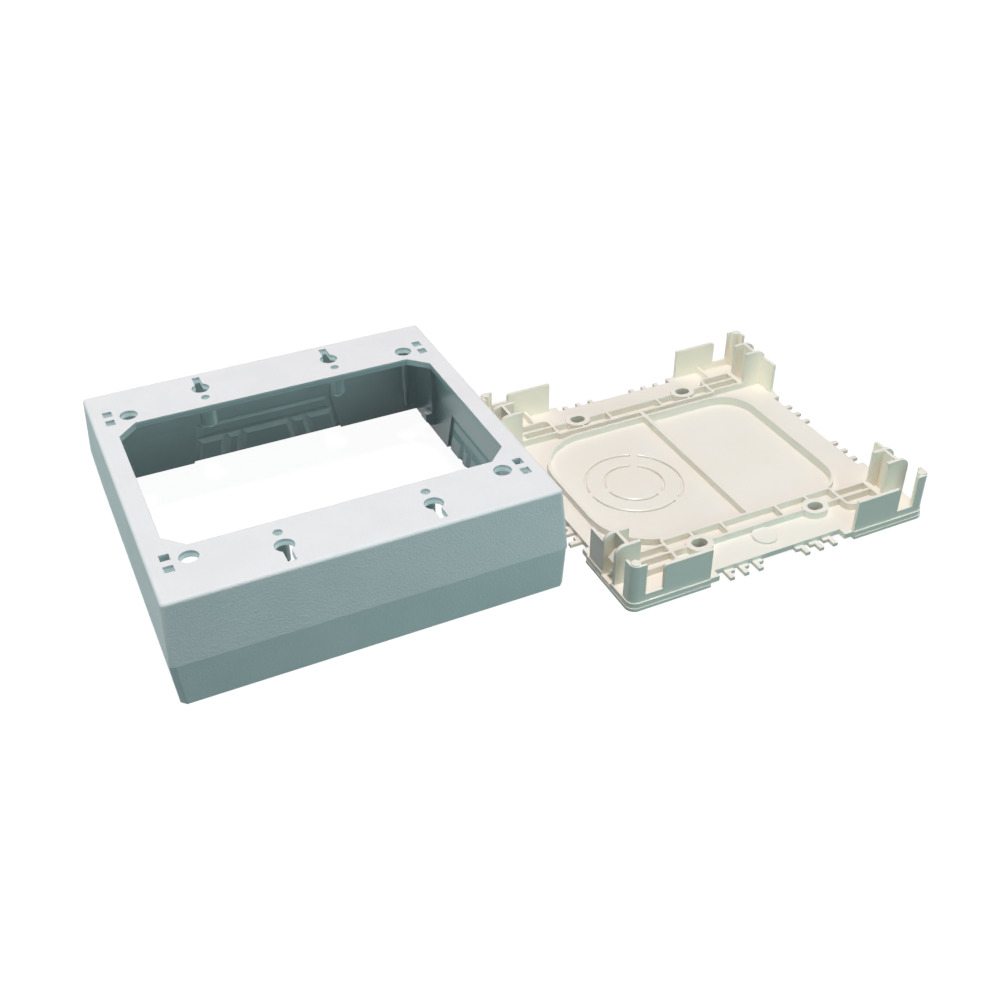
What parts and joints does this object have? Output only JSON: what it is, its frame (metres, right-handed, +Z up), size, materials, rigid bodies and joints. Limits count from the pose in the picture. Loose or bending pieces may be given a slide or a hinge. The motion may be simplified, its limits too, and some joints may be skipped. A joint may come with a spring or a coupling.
{
  "type": "raceway outlet box",
  "caption": "Two-gang surface raceway outlet box taken apart: a deep open cover frame with a device opening, beside its flat ribbed wall base plate with corner latches",
  "frame": {"origin": "middle of the footprint of both pieces together, on the ground they stand on", "axes": "+X from the cover to the base plate, along the cover's long side; +Y to the back; +Z up, away from the wall it is made for"},
  "size_m": [0.2514, 0.1436, 0.036],
  "materials": {
    "cover_plastic": "cool white, fine moulded texture",
    "base_plastic": "ivory, semi-gloss"
  },
  "bodies": {
    "root": {"cover_frame": "cover_plastic", "base_plate": "base_plastic"}
  },
  "joints": []
}
